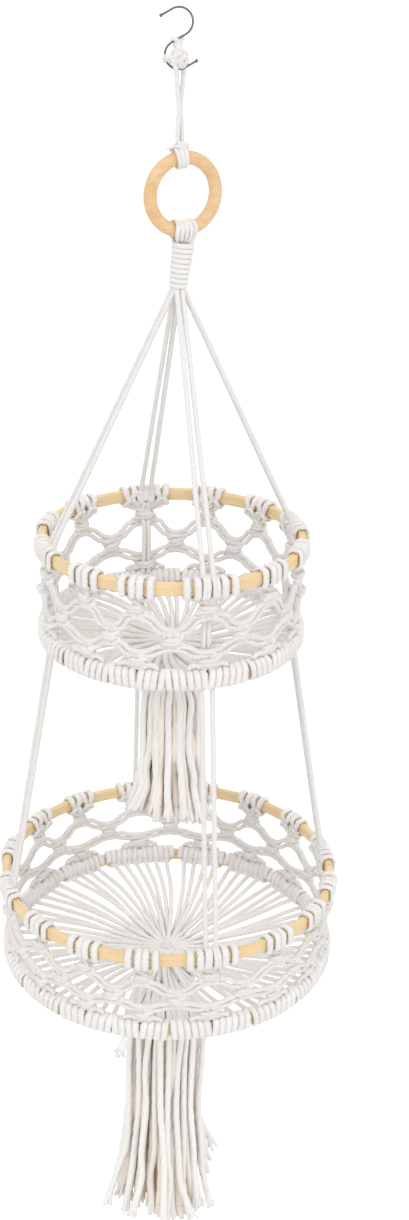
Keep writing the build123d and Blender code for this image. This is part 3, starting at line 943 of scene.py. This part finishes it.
def hanging_loop():
    """The doubled cord on the hook, knotted in its bend, with its legs down to the ring's knot."""
    cords = Cords()
    # A height, then where the left and the right leg are at it
    legs = (
        (-0.0870, 0.0002, -0.0006, 0.0032, 0.0006), (-0.0790, 0.0000, -0.0012, 0.0030, 0.0012),
        (-0.0720, 0.0003, -0.0014, 0.0026, 0.0012), (-0.0660, 0.0007, -0.0014, 0.0018, 0.0012),
        (-0.0600, 0.0005, -0.0014, 0.0016, 0.0012), (-0.0530, -0.0003, -0.0012, 0.0024, 0.0012),
        (-0.0450, -0.0008, -0.0024, 0.0032, 0.0024), (-0.0395, -0.0012, -0.0032, 0.0034, 0.0032),
        (-0.0350, -0.0024, -0.0040, 0.0040, 0.0030), (-0.0320, -0.0040, -0.0034, 0.0044, 0.0010),
        (-0.0290, -0.0040, -0.0016, 0.0036, -0.0006),
    )
    for leg in (1, 3):
        cords.run([(*row[leg:leg + 2], row[0]) for row in legs], loop_cord)
    middle = Vector(lump_centre)
    for facing, spin in (
        ((0.2, -0.95, 0.3), 0.3), ((0.85, -0.3, 0.45), 1.4), ((-0.5, -0.3, 0.8), 2.2),
    ):
        lie = Vector(facing).to_track_quat("Z", "X")
        turn = []
        for i in range(15):
            t = tau * i / 13 + spin
            swell = lump_radius * (1 + 0.12 * sin(2 * t + spin))
            at = Vector((swell * cos(t), swell * sin(t), lump_rise * sin(t / 2)))
            turn.append(middle + lie @ at)
        cords.run(turn, loop_cord * 1.3)
    core = [middle + Vector((0, 0, height)) for height in (-0.004, 0, 0.004)]
    cords.run(core, lump_core)
    for start, end, width, count, reach in (
        ((-0.0020, -0.0022, -0.0300), (-0.0074, -0.0034, -0.0308), 0.0040, 9, 0.0030),
        ((0.0002, 0.0024, -0.0270), (-0.0006, 0.0030, -0.0222), 0.0066, 14, 0.0042),
    ):
        halfway = tuple((a + b) / 2 for a, b in zip(start, end))
        short_end(cords, [start, halfway, end], width, count, reach)
    piece = cords.piece("hanging_loop_cords")
    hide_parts("hanging_loop", "loop_lump")
    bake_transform(piece)


hanging_loop()

ring_low, ring_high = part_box("wooden_ring")
ring_centre = np.array([(ring_low.x + ring_high.x) / 2, 0, (ring_low.z + ring_high.z) / 2])
ring_mean = (ring_high.z - ring_low.z - ring_tube) / 2
ring_along = np.array([cos(ring_turned), sin(ring_turned), 0])
ring_front = np.array([sin(ring_turned), -cos(ring_turned), 0])
ring_up = np.array([0, 0, 1])


def on_ring(angle, turn):
    """A place for a cord on the ring: angle along the ring, turn round its tube, 0 outside."""
    radius = ring_mean + ring_away * cos(turn)
    outward = ring_along * cos(angle) + ring_up * sin(angle)
    return ring_centre + outward * radius + ring_front * ring_away * sin(turn)


def ring_top():
    """The knot of the hanging loop above the ring and its three turns over the ring."""
    cords = Cords()
    pitch = top_turn_pitch / ring_mean
    for i in (-1, 0, 1):
        points = []
        for step in range(section_steps + 1):
            turn = tau * step / section_steps + top_turn_start
            slant = top_turn_slant * pitch * sin(turn)
            squeeze = 1 - top_turn_squeeze * (cos(turn) + 1) / 2
            at = on_ring(top_turn_angle + i * pitch * squeeze + slant, turn)
            points.append((*at, *top_turn_size))
        cords.run(points, side=ring_along, held=True)
    centre = Vector((0.0016, -0.0002, -0.0872))
    bar = [
        (0.0054, 0.0020, -0.0012), (0.0030, -0.0030, -0.0002), (-0.0010, -0.0038, 0.0004),
        (-0.0046, -0.0018, 0.0), (-0.0044, 0.0022, -0.0006), (-0.0008, 0.0036, -0.0004),
        (0.0034, 0.0030, 0.0008), (0.0052, -0.0006, 0.0014), (0.0026, -0.0036, 0.0022),
        (-0.0022, -0.0030, 0.0026),
    ]
    cords.run([centre + Vector(place) * top_knot_share for place in bar], loop_cord)
    tail = [(-0.0010, -0.0030, -0.0862), (-0.0034, -0.0032, -0.0872), (-0.0048, -0.0028, -0.0884)]
    short_end(cords, tail, knot_tail, 4, 0.0018)
    piece = cords.piece("ring_top_cords")
    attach(piece, "ring")
    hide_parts("ring_top_hitch", "ring_knot")


ring_top()

wrap_low, wrap_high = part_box("gather_wrap")
core_low, core_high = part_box("gather_core")


def gathered():
    """Cords folded over the ring's lower edge and down into the bundle."""
    cords = Cords()
    pitch = fold_pitch / ring_mean
    middle = radians(-90) + fold_offset / ring_mean
    foot = core_high.z - 0.004
    for i in range(fold_count):
        place = i - (fold_count - 1) / 2
        angle = middle + place * pitch
        x = wrap_top_x + place * fold_spread
        points = []
        for sign in (1, -1):
            out = ring_front * sign * fold_reach
            between = middle + place * pitch * (1 + fold_squeeze) / 2
            rows = [
                (x + out[0], out[1], foot), (x + out[0], out[1], foot + 0.0038),
                on_ring(between, sign * 0.30 * pi),
            ]
            rows = [(*row, *fold_leg_size) for row in rows]
            slant = 0.10 * pitch * sign
            for share in (0.6, 0.78):
                at = on_ring(angle + slant, sign * share * pi)
                rows.append((*at, *fold_size))
            if sign > 0:
                points += rows
                points.append((*on_ring(angle, pi), *fold_size))
            else:
                points += rows[::-1]
        cords.run(points, side=ring_along, held=True)
    piece = cords.piece("gathered_cords")
    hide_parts("gather_hitches")
    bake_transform(piece)


def gather_wrapping():
    """The cord wound round the bundle, over the bundle's own cords."""
    cords, bundle = Cords(), Cords()
    rows = []
    total = gather_turns * turn_steps
    top, bottom = wrap_high.z + wrap_rise - thin_cord / 2, wrap_low.z + thin_cord / 2
    for i in range(total + 1):
        share = i / total
        radius = wrap_top_radius + (wrap_bottom_radius - wrap_top_radius) * share
        centre = wrap_top_x + (wrap_bottom_x - wrap_top_x) * share
        x, y, z = polar(radius, tau * i / turn_steps + pi / 2, top + (bottom - top) * share)
        rows.append((x + centre, y, z, (top - bottom) / gather_turns * wrap_fullness, thin_cord))
    cords.run(rows, held=True)
    piece = cords.piece("gather_wrap_cord")
    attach(piece, "gather")
    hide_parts("gather_wrap")
    for k in range(bundle_count):
        x, y, z = polar(bundle_radius, k * tau / bundle_count, 0)
        points = [
            (wrap_top_x + x, y, core_high.z + 0.0004),
            ((wrap_top_x + wrap_bottom_x) / 2 + x, y, (core_high.z + core_low.z) / 2),
            (wrap_bottom_x + x, y, core_low.z + 0.0002),
        ]
        bundle.run(points, thin_cord, coarse_step)
    piece = bundle.piece("gather_bundle")
    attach(piece, "gather")
    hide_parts("gather_core")


gathered()
gather_wrapping()


def hangers():
    """The hangers: to the upper rim, inside the upper net, and to the lower rim."""
    cords = Cords()
    low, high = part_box("upper_hangers")
    root, foot = high.z, low.z
    for pair, side in each_hanger:
        angle = upper.pair_angle(pair)
        points = []
        for radius, rise in ((0.0036, 0.004), (0.0049, -0.0016)):
            x, y, z = polar(radius, angle + side * quarter / 4, root + rise)
            points.append((x + wrap_bottom_x, y, z))
        turn = angle + side * hanger_spread / upper.rim_radius
        end = polar(upper.rim_radius - hoop_side, turn, foot + 0.0003)
        run = np.array(end) - points[1]
        straight = [points[1] + run * share for share in (0.2, 0.4, 0.6, 0.8)]
        last = polar(upper.rim_radius - hoop_side, turn + side * 0.01, foot - 0.006)
        cords.run([*points, *straight, end, last], cord)
    piece = cords.piece("upper_hanger_cords")
    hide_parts("upper_hangers")
    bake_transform(piece)

    cords = Cords()
    for pair, side in each_hanger:
        angle = upper.pair_angle(pair)
        past_knot = knot_reach * 1.8
        way = (
            (0.0016, hoop_skin - 0.002, 0.0040), (0.0020, upper.top_row, knot_hanger_depth),
            (0.0018, upper.top_row + past_knot, inner_hanger_depth),
            (0.0018 * 1.1, upper.bottom_row - past_knot, inner_hanger_depth),
            (0.0020, upper.bottom_row, knot_hanger_depth),
            (0.0022, upper.depth - hoop_skin + 0.002, 0.0040),
        )
        cords.run([upper.wall(angle, side * along, drop, -deep) for along, drop, deep in way], cord)
    piece = cords.piece("upper_inner_hanger_cords")
    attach(piece, "upper_basket")
    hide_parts("upper_inner_hangers")

    cords = Cords()
    low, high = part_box("lower_hangers")
    top, foot = high.z, low.z
    for pair, side in each_hanger:
        turn = upper.pair_angle(pair) + side * hanger_spread / upper.base_radius
        start = np.array(polar(upper.base_radius, turn, top))
        turn = lower.pair_angle(pair) + side * hanger_spread / lower.rim_radius
        end = np.array(polar(lower.rim_radius - hoop_side * 0.6, turn, foot))
        points = [start + (0, 0, 0.004)]
        points += [start + (end - start) * share for share in np.linspace(0, 1, 6)]
        points.append(polar(lower.rim_radius - hoop_side, turn, foot - 0.004))
        cords.run(points, cord)
    piece = cords.piece("lower_hanger_cords")
    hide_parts("lower_hangers")
    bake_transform(piece)


hangers()


def seen_directly(tree):
    """1 where the camera, a glossy surface or glass shows a thing, and 0 for the light it gives."""
    path = add_node(tree, "ShaderNodeLightPath")
    seen = reckoned(tree, "MAXIMUM", path.outputs["Is Camera Ray"], path.outputs["Is Glossy Ray"])
    return reckoned(tree, "MAXIMUM", seen, path.outputs["Is Transmission Ray"])


def studio():
    """A plain pale floor, a white surround and soft light."""
    scene = bpy.context.scene
    scene.view_settings.view_transform = "Standard"
    world = bpy.data.worlds.new("studio")
    scene.world = world
    world.use_nodes = True
    tree = world.node_tree
    strength = ranged(tree, seen_directly(tree), 0.93, 1.0)
    connect(tree, tree.nodes["Background"], {"Color": (1, 1, 1, 1), "Strength": strength})

    for name, strength, tilt_degrees, turn_degrees, spread_degrees in (
        ("key", 0.45, 48, -28, 30), ("fill", 0.32, 62, 50, 60), ("rear", 0.28, 50, 180, 60),
    ):
        data = bpy.data.lights.new(name, "SUN")
        data.energy = strength
        data.angle = radians(spread_degrees)
        lamp = bpy.data.objects.new(name, data)
        around = Matrix.Rotation(radians(turn_degrees), 4, "Z")
        lamp.matrix_world = around @ Matrix.Rotation(radians(tilt_degrees), 4, "X")
        scene.collection.objects.link(lamp)

    half, height = 40.0, -1.75
    mesh = bpy.data.meshes.new("floor")
    corners = [(x * half, y * half, height) for x, y in ((-1, -1), (1, -1), (1, 1), (-1, 1))]
    mesh.from_pydata(corners, [], [(0, 1, 2, 3)])
    floor = bpy.data.objects.new("floor", mesh)
    scene.collection.objects.link(floor)
    material, tree, shader = new_material("floor_paper")
    glow = reckoned(tree, "MULTIPLY", seen_directly(tree), 0.35)
    connect(tree, shader, {
        "Base Color": (0.85, 0.85, 0.85, 1), "Roughness": 1.0,
        "Emission Color": (1, 1, 1, 1), "Emission Strength": glow,
    })
    mesh.materials.append(material)


studio()
